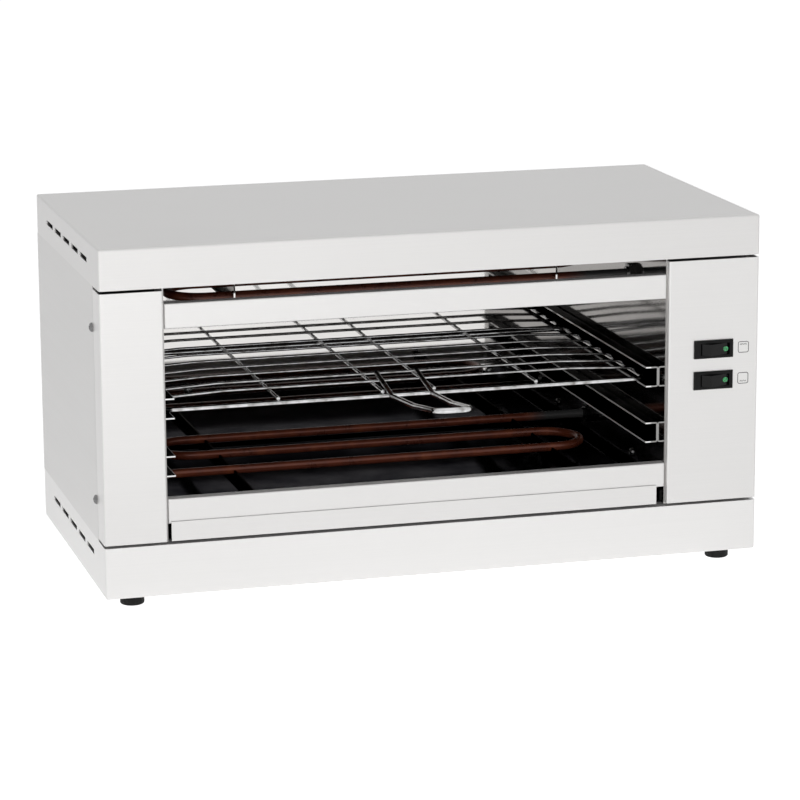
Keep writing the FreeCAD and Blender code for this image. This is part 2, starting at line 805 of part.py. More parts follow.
def rack_frame():
    """The rack's outer rod, closed on itself with rounded corners."""
    left, right, front, back, level = values(
        "rack_left", "rack_right", "rack_front", "rack_back", "rack_height"
    )
    corner, radius = values("rack_corner_radius", "frame_rod_radius")
    middle = (left + right) / 2
    halves = []
    for side in (left, right):
        points = ((middle, front, level), (side, front, level), (side, back, level), (middle, back, level))
        halves.append(rod(points, radius, [corner] * 2, int(value("rod_sides"))))
    return halves[0].fuse(halves[1]).removeSplitter()


shaped("rack_frame", rack_frame())


def cross_rods():
    """Arched rods from side to side: they rest on the side rods and rise onto the depth rods."""
    left, right = values("rack_left", "rack_right")
    over, slope, pitch = values("cross_rod_overhang", "cross_rod_slope_length", "cross_rod_pitch")
    low, high, radius = values("cross_rod_end_height", "cross_rod_height", "cross_rod_radius")
    front, back = values("rack_front", "rack_back")
    count = int((back - front - pitch / 4) / pitch)
    rods = []
    for index in range(1, count + 1):
        y = front + index * pitch
        points = (
            (left - over, y, low), (left + slope, y, high), (right - slope, y, high), (right + over, y, low),
        )
        rods.append(rod(points, radius, [value("rod_bend")] * 2, int(value("rod_sides"))))
    return rods


shaped("rack_cross_rods", Part.makeCompound(cross_rods()))

depth_rods = []
for offset in ("-outer_depth_rod", "-inner_depth_rod", "inner_depth_rod", "outer_depth_rod"):
    x, front, back = values("chamber_middle + " + offset, "rack_front", "rack_back")
    level = value("depth_rod_height")
    ends = ((x, front, level), (x, back, level))
    depth_rods.append(rod(ends, value("depth_rod_radius"), [], int(value("rod_sides"))))
shaped("rack_depth_rods", Part.makeCompound(depth_rods))


def rack_handle():
    """A U of rod: it lies on the first cross rod and the front rod, dips, then rises to its tip."""
    front, level, pitch = values("rack_front", "rack_height", "cross_rod_pitch")
    cross_level, radius = values("cross_rod_height", "handle_rod_radius")
    over_cross = value("cross_rod_radius") + radius
    over_frame = value("frame_rod_radius") + radius
    drop = cross_level - level
    span = math.hypot(pitch, drop)
    slope = math.atan2(drop, pitch) - math.asin((over_frame - over_cross) / span)
    normal = (-math.sin(slope), math.cos(slope))
    seat = (front + normal[0] * over_frame, level + normal[1] * over_frame)
    along = (math.cos(slope), math.sin(slope))
    rear = pitch + value("handle_overlap")
    dip, share = values("handle_dip_reach", "handle_dip_share")
    middle = value("chamber_middle")
    wide, narrow = values("handle_half_width", "handle_tip_half_width")
    tip_y = front - value("handle_reach")
    tip_z = level + value("handle_rise")
    dip_point = (seat[0] - along[0] * dip, seat[1] - along[1] * dip)
    halfway = ((dip_point[0] + tip_y) / 2, dip_point[1] + (tip_z - dip_point[1]) * share)
    side = (
        (wide, seat[0] + along[0] * rear, seat[1] + along[1] * rear),
        (wide, dip_point[0], dip_point[1]),
        ((wide + narrow) / 2, halfway[0], halfway[1]),
        (narrow, tip_y, tip_z),
    )
    points = [(middle - x, y, z) for x, y, z in side]
    points += [(middle + x, y, z) for x, y, z in reversed(side)]
    half = values("rod_bend", "handle_rise_bend", "handle_tip_bend")
    return rod(points, radius, half + half[::-1], int(value("rod_sides")))


shaped("rack_handle", rack_handle())

# Switches

def switch_housing(label, rise):
    body = new_body(label)
    middle = "control_middle"
    bezel = rectangle(
        body, "XZ_Plane", "half_depth", middle + " - bezel_length / 2", rise + " - bezel_height / 2",
        middle + " + bezel_length / 2", rise + " + bezel_height / 2",
    )
    pad(body, bezel, "bezel_thickness")
    front = value("-half_depth - bezel_thickness")
    round_edges(body, "bezel_thickness / 2", lambda place, run: near(place.y, front))
    trunk = rectangle(
        body, "XZ_Plane", "half_depth", middle + " - switch_body_length / 2",
        rise + " - switch_body_height / 2", middle + " + switch_body_length / 2",
        rise + " + switch_body_height / 2",
    )
    pad(body, trunk, "switch_body_depth", True)
    window = rectangle(
        body, "XZ_Plane", "half_depth + bezel_thickness", "window_middle - window_length / 2",
        rise + " - window_height / 2", "window_middle + window_length / 2", rise + " + window_height / 2",
    )
    pocket(body, window, "window_depth")
    pins = circles(
        body, "XY_Plane", rise + " + switch_body_height / 2", [("window_middle", "pivot_y")],
        "rocker_pin_radius + rocker_pin_clearance",
    )
    pocket(body, pins, "switch_body_height")
    return body


def rocker(label, rise):
    """A rocker with a ridge near its raised end, on two short pins in the housing."""
    body = new_body(label)
    raised_end = "-rocker_reach + rocker_raised_inset"
    pressed_end = "rocker_reach - rocker_pressed_inset"
    corners = [
        (raised_end, "rocker_raised_height"),
        ("-rocker_ridge_offset", "rocker_ridge_height"),
        (pressed_end, "rocker_pressed_height"),
        (pressed_end, "-rocker_pressed_skirt"),
        ("rocker_reach - rocker_heel_inset", "-rocker_reach + rocker_heel_rise"),
        ("-rocker_reach + rocker_heel_inset", "-rocker_reach + rocker_heel_rise"),
        (raised_end, "-rocker_raised_skirt"),
    ]
    spots = [("window_middle + %s" % u, "pivot_y - (%s)" % w) for u, w in corners]
    tall = "window_height - 2 * rocker_side_gap"
    low = "%s - (%s) / 2" % (rise, tall)
    pad(body, outline(body, "XY_Plane", low, spots), tall)
    top = value("pivot_y - rocker_edge_radius")
    round_edges(body, "rocker_edge_radius", lambda place, run: near(abs(run.z), 1) and place.y < top)
    slope = "(rocker_ridge_height - rocker_pressed_height) / (%s + rocker_ridge_offset)" % pressed_end
    facet = "pivot_y - rocker_ridge_height + (lens_offset + rocker_ridge_offset) * %s" % slope
    seat = circles(
        body, "XZ_Plane", "-(%s + lens_sink)" % facet, [("window_middle + lens_offset", rise)],
        "lens_radius + lens_clearance",
    )
    pocket(body, seat, "3 * lens_sink", True)
    pins = circles(
        body, "XY_Plane", "%s - (%s) / 2 - rocker_pin_length" % (rise, tall),
        [("window_middle", "pivot_y")], "rocker_pin_radius",
    )
    pad(body, pins, tall + " + 2 * rocker_pin_length")
    lens = new_body(label + "_lens")
    disc = circles(
        lens, "XZ_Plane", "-(%s + lens_sink)" % facet,
        [("window_middle + lens_offset", rise)], "lens_radius",
    )
    pad(lens, disc, "lens_sink + lens_proud")


for word in ("upper", "lower"):
    switch_housing(word + "_switch_housing", "%s_switch_height" % word)
for word in ("upper", "lower"):
    rocker(word + "_rocker", "%s_switch_height" % word)

blades = []
blade_back = value("-half_depth + switch_body_depth")
for rise in ("upper_switch_height", "lower_switch_height"):
    for index in (-1, 0, 1):
        width, thick, length = values("blade_thickness", "blade_width", "blade_length")
        x = value("control_middle") + index * value("blade_pitch")
        corner = FreeCAD.Vector(x - width / 2, blade_back, value(rise) - thick / 2)
        blades.append(Part.makeBox(width, length, thick, corner))
shaped("switch_blades", Part.makeCompound(blades))

# Feet and fasteners

def foot(x, y):
    """A round foot with a recess below for its screw's head, and a hole for its shank."""
    height, depth = values("foot_height", "foot_recess_depth")
    spots = [FreeCAD.Vector(x, y, -height), FreeCAD.Vector(x, y, 0)]
    shape = rod(spots, value("foot_radius"), [], int(value("foot_sides")))
    shape = shape.cut(round_bar(value("foot_recess_radius"), depth, spots[0], (0, 0, 1)))
    return shape.cut(round_bar(value("foot_screw_radius + hole_clearance"), height, spots[0], (0, 0, 1)))


foot_names = ("front_left_foot", "rear_left_foot", "front_right_foot", "rear_right_foot")
for label, rules in zip(foot_names, foot_spots):
    shaped(label, foot(*values(*rules)))

foot_screws = []
foot_nuts = []
for x_rule, y_rule in foot_spots:
    x, y, shank, head_radius, head = values(
        x_rule, y_rule, "foot_screw_radius", "foot_screw_head_radius", "foot_screw_head"
    )
    seat = value("-foot_height + foot_recess_depth")
    nut_length, thick = values("foot_nut_length", "sheet_thickness")
    end = thick + nut_length + value("foot_screw_grip")
    screw = round_bar(head_radius, head, (x, y, seat - head), (0, 0, 1))
    screw = screw.fuse(round_bar(shank, end - seat, (x, y, seat), (0, 0, 1))).removeSplitter()
    foot_screws.append(screw)
    nut = hexagon(value("foot_nut_across"), nut_length, (x, y, thick), (0, 0, 1))
    foot_nuts.append(nut.cut(round_bar(shank, nut_length, (x, y, thick), (0, 0, 1))))
shaped("foot_screws", Part.makeCompound(foot_screws))
shaped("foot_nuts", Part.makeCompound(foot_nuts))

def screw_head(base, direction):
    """A cap screw's head, seated where base says and facing along direction."""
    return round_bar(value("cap_screw_head_radius"), value("cap_screw_head"), base, direction)


side_screws = []
for way in (-1, 1):
    for y_rule, z_rule in side_screw_spots:
        spot = (way * value("half_width"), value(y_rule), value(z_rule))
        side_screws.append(screw_head(spot, (way, 0, 0)))
shaped("side_screws", Part.makeCompound(side_screws))

rear_screws = []
for x_rule, z_rule in rear_screw_spots:
    spot = (value(x_rule), value("half_depth"), value(z_rule))
    rear_screws.append(screw_head(spot, (0, 1, 0)))
shaped("rear_screws", Part.makeCompound(rear_screws))

chamber_screws = []
for side, way in (("left", 1), ("right", -1)):
    for y_rule, z_rule in wall_screw_spots[side]:
        spot = (value("wall_" + side), value(y_rule), value(z_rule))
        chamber_screws.append(screw_head(spot, (way, 0, 0)))
for x_rule, z_rule in back_screw_spots:
    spot = (value(x_rule), value("wall_back"), value(z_rule))
    chamber_screws.append(screw_head(spot, (0, -1, 0)))
shaped("chamber_screws", Part.makeCompound(chamber_screws))

# Mains inlet: a cable gland in the rear panel and its lock nut

def gland():
    x, z, wall, thick = values("gland_x", "gland_height", "half_depth", "sheet_thickness")
    body, bore, mouth, collar, dome, tail = values(
        "gland_body_radius", "gland_bore_radius", "gland_mouth_radius", "gland_collar",
        "gland_dome_length", "gland_tail",
    )
    shape = round_bar(body, tail + thick, (x, wall - thick - tail, z), (0, 1, 0))
    shape = shape.fuse(hexagon(value("gland_nut_across"), collar, (x, wall, z), (0, 1, 0)))
    rims = []
    for radius, y in ((body, wall + collar), (mouth, wall + collar + dome)):
        rim = ring_of_flats(radius, int(value("tube_sides")))
        turn = FreeCAD.Rotation(FreeCAD.Vector(1, 0, 0), FreeCAD.Vector(0, 1, 0))
        rim.Placement = FreeCAD.Placement(FreeCAD.Vector(x, y, z), turn)
        rims.append([vertex.Point for vertex in rim.OrderedVertexes])
    low, high = rims
    faces = [Part.Face(Part.makePolygon(rim + rim[:1])) for rim in rims]
    for index, spot in enumerate(low):
        after = (index + 1) % len(low)
        faces.append(Part.Face(Part.makePolygon([spot, low[after], high[after], high[index], spot])))
    shape = shape.fuse(Part.Solid(Part.Shell(faces)))
    whole = Part.makeCylinder(
        bore, tail + thick + collar + dome, FreeCAD.Vector(x, wall - thick - tail, z),
        FreeCAD.Vector(0, 1, 0),
    )
    return shape.cut(whole).removeSplitter()


shaped("cable_gland", gland())
lock_start = values("gland_x", "half_depth - sheet_thickness", "gland_height")
lock_length = value("gland_lock_nut")
lock = hexagon(value("gland_nut_across"), lock_length, lock_start, (0, -1, 0))
lock = lock.cut(round_bar(value("gland_body_radius"), lock_length, lock_start, (0, -1, 0)))
shaped("gland_lock_nut", lock)

doc.recompute()


def check(item):
    problems = [state for state in item.State if state in ("Invalid", "Error")]
    if problems:
        raise RuntimeError("%s is %s" % (item.Label, problems))


for item in doc.Objects:
    check(item)
for part in sub_parts:
    if part.Shape.isNull() or not part.Shape.isValid():
        raise RuntimeError("%s has no valid shape" % part.Label)

os.makedirs("parts", exist_ok=True)
for part in sub_parts:
    part.Shape.exportStep(os.path.join("parts", part.Label + ".step"))
print(len(sub_parts), "sub-parts written")
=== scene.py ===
"""The looks of a stainless countertop toaster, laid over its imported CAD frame. Units are metres."""
import json
import math

import bmesh
import bpy
from mathutils import Matrix, Vector


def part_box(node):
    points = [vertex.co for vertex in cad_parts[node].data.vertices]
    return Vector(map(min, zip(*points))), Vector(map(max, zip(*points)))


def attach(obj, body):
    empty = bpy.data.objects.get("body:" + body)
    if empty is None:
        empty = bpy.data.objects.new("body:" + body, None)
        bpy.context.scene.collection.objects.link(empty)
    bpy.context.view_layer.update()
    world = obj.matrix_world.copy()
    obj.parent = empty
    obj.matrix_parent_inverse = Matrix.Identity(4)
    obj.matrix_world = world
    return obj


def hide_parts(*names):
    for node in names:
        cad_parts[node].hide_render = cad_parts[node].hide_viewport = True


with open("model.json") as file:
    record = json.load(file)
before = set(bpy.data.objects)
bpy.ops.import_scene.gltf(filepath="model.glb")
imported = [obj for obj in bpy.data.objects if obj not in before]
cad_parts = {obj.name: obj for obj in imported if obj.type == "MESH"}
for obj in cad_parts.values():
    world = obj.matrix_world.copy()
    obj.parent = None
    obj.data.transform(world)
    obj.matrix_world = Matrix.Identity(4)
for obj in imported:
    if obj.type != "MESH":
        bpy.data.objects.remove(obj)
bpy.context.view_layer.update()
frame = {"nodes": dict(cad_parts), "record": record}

MM = 0.001
X, Y = 0, 1
LOW, HIGH = 0, 1
# Vertices nearer to each other than this are one.
MERGE = 0.001 * MM


# Node graphs

# A Mix node has one set of sockets for each kind of data, and these are its colours.
MIX_UNDER, MIX_OVER, MIX_RESULT = 6, 7, 2


class Nodes:
    """A node tree under construction, with short calls for its nodes and links."""

    def __init__(self, tree):
        self.tree = tree

    def add(self, kind, **settings):
        node = self.tree.nodes.new(kind)
        for key, setting in settings.items():
            setattr(node, key, setting)
        return node

    def feed(self, target, source):
        """Link a socket to another one, or set it to a plain value."""
        if isinstance(source, bpy.types.NodeSocket):
            self.tree.links.new(source, target)
        else:
            target.default_value = source

    def maths(self, operation, first, second):
        node = self.add("ShaderNodeMath", operation=operation)
        self.feed(node.inputs[0], first)
        self.feed(node.inputs[1], second)
        return node.outputs[0]

    def spread(self, source, low, high, start=0.3, end=0.7):
        """A value that goes from low to high while its source goes from start to end."""
        node = self.add("ShaderNodeMapRange")
        self.feed(node.inputs["From Min"], start)
        self.feed(node.inputs["From Max"], end)
        self.feed(node.inputs["To Min"], low)
        self.feed(node.inputs["To Max"], high)
        self.feed(node.inputs["Value"], source)
        return node.outputs["Result"]

    def choose(self, mask, off, on):
        """One value where a mask is 0, and another where it is 1."""
        return self.spread(mask, off, on, start=0.0, end=1.0)

    def background_rays(self):
        """1 for rays from the camera and those that gloss or glass sends on, and 0 for others."""
        path = self.add("ShaderNodeLightPath")
        seen = self.maths("MAXIMUM", path.outputs["Is Camera Ray"], path.outputs["Is Glossy Ray"])
        return self.maths("MAXIMUM", seen, path.outputs["Is Transmission Ray"])


class Graph(Nodes):
    """A material under construction around its Principled shader."""

    def __init__(self, name):
        self.material = bpy.data.materials.new(name)
        self.material.use_nodes = True
        super().__init__(self.material.node_tree)
        self.shader = self.tree.nodes["Principled BSDF"]
        self.place = self.add("ShaderNodeTexCoord").outputs["Object"]

    def noise(self, scale, stretch=(1, 1, 1), detail=2.0, roughness=0.5):
        """A 0 to 1 texture in the object's coordinates, which stretch scales axis by axis."""
        mapping = self.add("ShaderNodeMapping")
        self.feed(mapping.inputs["Scale"], stretch)
        self.feed(mapping.inputs["Vector"], self.place)
        node = self.add("ShaderNodeTexNoise")
        self.feed(node.inputs["Scale"], scale)
        self.feed(node.inputs["Detail"], detail)
        self.feed(node.inputs["Roughness"], roughness)
        self.feed(node.inputs["Vector"], mapping.outputs["Vector"])
        return node.outputs["Fac"]

    def ramp(self, source, stops):
        """Colours along a 0 to 1 texture, as (position, colour) pairs."""
        node = self.add("ShaderNodeValToRGB")
        elements = node.color_ramp.elements
        while len(elements) < len(stops):
            elements.new(0.5)
        for element, (position, colour) in zip(elements, stops):
            element.position = position
            element.color = (*colour, 1.0)
        self.feed(node.inputs["Fac"], source)
        return node.outputs["Color"]

    def shade(self, source, dark, light, start=0.3, end=0.7):
        """Two colours along a 0 to 1 texture."""
        return self.ramp(source, [(start, dark), (end, light)])

    def mix(self, factor, under, over, blend="MIX"):
        """One colour laid over another by a factor, which may be a mask."""
        node = self.add("ShaderNodeMix", data_type="RGBA", blend_type=blend)
        self.feed(node.inputs["Factor"], factor)
        self.feed(node.inputs[MIX_UNDER], under)
        self.feed(node.inputs[MIX_OVER], over)
        return node.outputs[MIX_RESULT]

    def coordinate(self, axis):
        split = self.add("ShaderNodeSeparateXYZ")
        self.feed(split.inputs[0], self.place)
        return split.outputs[axis]

    def band(self, axis, centre, half_width):
        """1 within half_width of a plane across an axis, and 0 elsewhere."""
        offset = self.maths("SUBTRACT", self.coordinate(axis), centre)
        return self.maths("LESS_THAN", self.maths("ABSOLUTE", offset, 0.0), half_width)

    def bump(self, source, strength, depth):
        node = self.add("ShaderNodeBump")
        self.feed(node.inputs["Strength"], strength)
        self.feed(node.inputs["Distance"], depth)
        self.feed(node.inputs["Height"], source)
        self.feed(self.shader.inputs["Normal"], node.outputs["Normal"])

    def surface(self, **sockets):
        """Feed the shader's sockets, named with _ for a space, with textures or plain values."""
        for key, source in sockets.items():
            self.feed(self.shader.inputs[key.replace("_", " ")], source)


def grey(level, warmth=0.0):
    return (level + warmth, level, level - warmth)


# Metals

SATIN_METAL = 0.42
SATIN_CONTRAST = 0.012
SATIN_WARMTH = 0.009
SMUDGE_GREY = 0.985
# Scales by axis. The grain and the rolling lines run along the axis with the small one.
GRAIN_ALONG_X = (8, 1100, 1100)
GRAIN_ALONG_Y = (1100, 8, 1100)
ROLLING_LINES = (6, 900, 900)
CLOUD_SHADE = 0.92
BRIGHT_WARMTH = 0.02
# Painted highlights: pale, less metallic bands on a rail's end and on its flanges' edges.
RAIL_END_HIGHLIGHT = 0.70
RAIL_FLANGE_HIGHLIGHT = 0.90
RAIL_FLANGE_HIGHLIGHT_METAL = 0.3
# Painted shade: the crumb tray's pan in dark greys; TRAY_RIM also darkens the tray's reflections at a
# glancing angle.
PAN_SHADE_DARK = (0.100, 0.100, 0.108)
PAN_SHADE_LIGHT = (0.190, 0.188, 0.198)
TRAY_RIM = 0.25
# How far bands reach: the painted highlights from a rail's edges, and the satin lip from the tray's
# front face.
RAIL_HIGHLIGHT_REACH = 0.3 * MM
TRAY_LIP = 0.7 * MM
WIRE_TARNISH = [
    (0.30, (0.26, 0.25, 0.24)),
    (0.45, (0.46, 0.46, 0.46)),
    (0.65, (0.64, 0.64, 0.65)),
]
HEATER_PATCHES = [
    (0.25, (0.050, 0.011, 0.006)),
    (0.55, (0.100, 0.023, 0.010)),
    (0.80, (0.170, 0.050, 0.020)),
]
HEATER_TUBE = 3.25 * MM
# Where along x the elements' unheated ends begin.
COLD_END = 125.0 * MM
COLD_GREY = 0.035
SCREW_DARK = 0.16
SCREW_LIGHT = 0.20
BRASS_DARK = (0.50, 0.36, 0.14)
BRASS_LIGHT = (0.68, 0.51, 0.22)


def satin_colour(graph, level=0.79, grain=GRAIN_ALONG_X):
    """The colour of fine satin sheet, and the texture of its grain."""
    lines = graph.noise(1.0, grain, detail=3.0, roughness=0.6)
    dark = grey(level - SATIN_CONTRAST, SATIN_WARMTH)
    light = grey(level + SATIN_CONTRAST, SATIN_WARMTH)
    sheet = graph.shade(lines, dark, light, start=0.2, end=0.8)
    smudges = graph.shade(graph.noise(7.0), grey(SMUDGE_GREY), grey(1.0))
    return graph.mix(1.0, sheet, smudges, "MULTIPLY"), lines


def satin_bump(graph, lines):
    graph.bump(lines, strength=0.05, depth=0.01 * MM)


def satin_stainless(name, **sheet):
    graph = Graph(name)
    colour, lines = satin_colour(graph, **sheet)
    satin_bump(graph, lines)
    graph.surface(
        Base_Color=colour,
        Roughness=graph.spread(lines, 0.28, 0.36),
        Metallic=SATIN_METAL,
        Specular_IOR_Level=0.5,
    )
    return graph.material


def bright_stainless(name, level, rim, rough=(0.05, 0.12), edges=None):
    """Bright-annealed sheet: nearly a mirror, with faint rolling lines and wipe marks.

    rim is how strongly it shines at a glancing angle; set low, it darkens reflections as painted
    shade. edges holds the bands of painted highlight on a rail's end and on its flanges' edges, paler
    and less metallic than its faces.
    """
    graph = Graph(name)
    lines = graph.noise(1.0, ROLLING_LINES)
    clouds = graph.noise(14.0, detail=3.0)
    warmth = level * BRIGHT_WARMTH
    colour = graph.shade(clouds, grey(level * CLOUD_SHADE, warmth), grey(level, warmth))
    metal = 1.0
    if edges:
        # Painted highlights on the rail's end and on its flanges' edges.
        end, flanges = (graph.band(*edge) for edge in edges)
        colour = graph.mix(end, colour, (*grey(RAIL_END_HIGHLIGHT), 1.0))
        colour = graph.mix(flanges, colour, (*grey(RAIL_FLANGE_HIGHLIGHT), 1.0))
        metal = graph.choose(flanges, 1.0, RAIL_FLANGE_HIGHLIGHT_METAL)
    graph.bump(graph.noise(22.0, detail=1.0), strength=0.08, depth=0.05 * MM)
    graph.surface(
        Base_Color=colour,
        Roughness=graph.spread(lines, *rough),
        Metallic=metal,
        Specular_Tint=(rim, rim, rim, 1.0),
    )
    return graph.material


def rail_highlights(node, side):
    """Bands of painted highlight at a rail's front end, and at its flanges' edges, which are on its
    low or high side.
    """
    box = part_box(node)
    return (Y, box[LOW][Y], RAIL_HIGHLIGHT_REACH), (X, box[side][X], RAIL_HIGHLIGHT_REACH)


def tray_stainless(name):
    """The crumb tray: a satin lip in front, and a pan behind it painted dark as painted shade."""
    graph = Graph(name)
    satin, lines = satin_colour(graph)
    lip = graph.band(Y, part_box("crumb_tray")[LOW].y, TRAY_LIP)
    pan_mottle = graph.noise(26.0, detail=4.0, roughness=0.6)
    satin_bump(graph, lines)
    graph.surface(
        Base_Color=graph.mix(lip, graph.shade(pan_mottle, PAN_SHADE_DARK, PAN_SHADE_LIGHT), satin),
        Roughness=graph.choose(lip, 0.10, 0.30),
        Metallic=graph.choose(lip, 1.0, SATIN_METAL),
        Specular_Tint=(TRAY_RIM, TRAY_RIM, TRAY_RIM, 1.0),
    )
    return graph.material


def chrome_wire(name):
    """Plated wire with small tarnished spots."""
    graph = Graph(name)
    spots = graph.noise(160.0, detail=3.0)
    graph.bump(spots, strength=0.06, depth=0.03 * MM)
    graph.surface(
        Base_Color=graph.ramp(spots, WIRE_TARNISH),
        Roughness=graph.spread(graph.noise(60.0), 0.03, 0.08),
        Metallic=1.0,
    )
    return graph.material


def heater_sheath(name, tail_y):
    """Oxidised tube, patchy red-brown, and grey at the unheated end of its run at tail_y."""
    graph = Graph(name)
    patches = graph.noise(70.0, detail=4.0, roughness=0.6)
    fade = {"start": COLD_END - 2 * HEATER_TUBE, "end": COLD_END + 4 * HEATER_TUBE}
    far = graph.spread(graph.coordinate(X), 0.0, 1.0, **fade)
    cold = graph.maths("MULTIPLY", far, graph.band(Y, tail_y, 2 * HEATER_TUBE))
    hot = graph.ramp(patches, HEATER_PATCHES)
    graph.bump(graph.noise(420.0, detail=3.0), strength=0.10, depth=0.05 * MM)
    graph.surface(
        Base_Color=graph.mix(cold, hot, (*grey(COLD_GREY), 1.0)),
        Roughness=graph.spread(patches, 0.24, 0.42),
        Metallic=0.30,
        Specular_IOR_Level=0.5,
    )
    return graph.material


def screw_steel(name):
    """Plated steel with the marks of turning."""
    graph = Graph(name)
    marks = graph.noise(300.0, detail=3.0)
    graph.bump(marks, strength=0.08, depth=0.04 * MM)
    graph.surface(
        Base_Color=graph.shade(marks, grey(SCREW_DARK), grey(SCREW_LIGHT)),
        Roughness=graph.spread(marks, 0.16, 0.28),
        Metallic=1.0,
    )
    return graph.material


def brass(name):
    graph = Graph(name)
    spots = graph.noise(220.0, detail=3.0)
    graph.surface(
        Base_Color=graph.shade(spots, BRASS_DARK, BRASS_LIGHT),
        Roughness=graph.spread(spots, 0.20, 0.36),
        Metallic=1.0,
    )
    return graph.material


# Plastics and rubber

ROUGH_SPREAD = 0.15
LENS_DARK = (0.004, 0.12, 0.035)
LENS_LIGHT = (0.030, 0.62, 0.17)


def moulded(name, dark, light, rough, texture, depth, shine=0.5):
    """A moulding with a fine spark-eroded texture and slight colour change, between two greys."""
    graph = Graph(name)
    grain = graph.noise(texture, detail=3.0)
    graph.bump(grain, strength=0.25, depth=depth)
    graph.surface(
        Base_Color=graph.shade(graph.noise(40.0), grey(dark), grey(light)),
        Roughness=graph.spread(grain, rough * (1 - ROUGH_SPREAD), rough * (1 + ROUGH_SPREAD)),
        Specular_IOR_Level=shine,
    )
    return graph.material


def green_lens(name):
    """A small translucent indicator, lighter where its ribs are thin."""
    graph = Graph(name)
    ribs = graph.noise(900.0, detail=1.0)
    graph.surface(
        Base_Color=graph.shade(ribs, LENS_DARK, LENS_LIGHT, start=0.35, end=0.65),
        Roughness=graph.spread(ribs, 0.12, 0.24),
        Transmission_Weight=0.25,
        Coat_Weight=0.5,
    )
    return graph.material


# Finishes

RECIPES = {
    "mark_ink": (moulded, dict(
        dark=0.015, light=0.030, rough=0.50, texture=2000.0, depth=0.005 * MM, shine=0.10,
    )),
    "satin_stainless": (satin_stainless, {}),
    # Painted light and shade: the same satin sheet at a lighter level on the base, and at darker
    # levels on the cover and the side panels.
    "cover_satin": (satin_stainless, dict(level=0.75)),
    "base_satin": (satin_stainless, dict(level=0.85)),
    "side_satin": (satin_stainless, dict(level=0.69, grain=GRAIN_ALONG_Y)),
    # Painted shade: the chamber's metals have dark levels and low rims so that they read dark inside
    # the chamber; the walls at 0.40, the rails at 0.05, baked_stainless at 0.09 and the tray guides
    # at 0.02.
    "bright_stainless": (bright_stainless, dict(level=0.40, rim=0.75)),
    "left_rail": (bright_stainless, dict(
        level=0.05, rim=0.30, edges=rail_highlights("upper_left_rail", HIGH),
    )),
    "right_rail": (bright_stainless, dict(
        level=0.05, rim=0.30, edges=rail_highlights("upper_right_rail", LOW),
    )),
    "mirror_stainless": (bright_stainless, dict(level=0.64, rim=0.85, rough=(0.02, 0.05))),
    "baked_stainless": (bright_stainless, dict(level=0.09, rim=0.25, rough=(0.08, 0.18))),
    "guide_stainless": (bright_stainless, dict(level=0.02, rim=0.05, rough=(0.08, 0.18))),
    "tray_stainless": (tray_stainless, {}),
    "chrome_wire": (chrome_wire, {}),
    "upper_sheath": (heater_sheath, dict(
        tail_y=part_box("upper_heating_element")[LOW].y + HEATER_TUBE,
    )),
    "heater_sheath": (heater_sheath, dict(
        tail_y=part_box("lower_heating_element")[HIGH].y - HEATER_TUBE,
    )),
    "dark_plastic": (moulded, dict(
        dark=0.006, light=0.010, rough=0.38, texture=1500.0, depth=0.03 * MM, shine=0.12,
    )),
    "rocker_plastic": (moulded, dict(
        dark=0.005, light=0.008, rough=0.16, texture=900.0, depth=0.01 * MM, shine=0.18,
    )),
    "green_lens": (green_lens, {}),
    "black_rubber": (moulded, dict(
        dark=0.010, light=0.018, rough=0.62, texture=800.0, depth=0.08 * MM, shine=0.15,
    )),
    "screw_steel": (screw_steel, {}),
    "brass": (brass, {}),
    "black_nylon": (moulded, dict(
        dark=0.016, light=0.028, rough=0.48, texture=1200.0, depth=0.05 * MM,
    )),
}
FINISHES = {name: recipe(name, **values) for name, (recipe, values) in RECIPES.items()}
OWN_FINISHES = {
    "top_cover": "cover_satin",
    "base_tray": "base_satin",
    "left_side_panel": "side_satin",
    "right_side_panel": "side_satin",
    "left_tray_guide": "guide_stainless",
    "right_tray_guide": "guide_stainless",
    "upper_element_comb_left": "mirror_stainless",
    "upper_element_comb_right": "mirror_stainless",
    "upper_left_rail": "left_rail",
    "upper_right_rail": "right_rail",
    "lower_left_rail": "left_rail",
    "lower_right_rail": "right_rail",
}


def finish_nodes():
    """Give each of the frame's nodes its own finish, or else that of its slot in the record."""
    for part in frame["record"]["subparts"]:
        finish = OWN_FINISHES.get(part["node"], part["material_slot"])
        materials = frame["nodes"][part["node"]].data.materials
        materials.clear()
        materials.append(FINISHES[finish])


# Mesh helpers

# An edge whose faces turn by more than this is sharp.
SHARP = math.radians(40)
ARC_STEP = math.radians(6)


def piece(name, bm, finish, body, *stands_for, smooth_angle=SHARP):
    """Make an object from a bmesh, give it a finish and let it ride on a body."""
    bmesh.ops.recalc_face_normals(bm, faces=bm.faces)
    for face in bm.faces:
        face.smooth = True
    for edge in bm.edges:
        edge.smooth = edge.is_manifold and edge.calc_face_angle(0.0) < smooth_angle
    mesh = bpy.data.meshes.new(name)
    bm.to_mesh(mesh)
    bm.free()
    made = bpy.data.objects.new(name, mesh)
    made.data.materials.append(FINISHES[finish])
    bpy.context.scene.collection.objects.link(made)
    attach(made, body)
    if stands_for:
        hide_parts(*stands_for)


def circle(bm, centre, side, across, radius, sides):
    """Vertices round a centre, in the plane of two unit vectors."""
    ring = []
    for index in range(sides):
        angle = math.tau * index / sides
        aim = side * math.cos(angle) + across * math.sin(angle)
        ring.append(bm.verts.new(centre + aim * radius))
    return ring


def bridge(bm, first, second):
    """A strip of faces between two rings with the same number of vertices."""
    count = len(first)
    for k in range(count):
        after = (k + 1) % count
        bm.faces.new((first[k], first[after], second[after], second[k]))


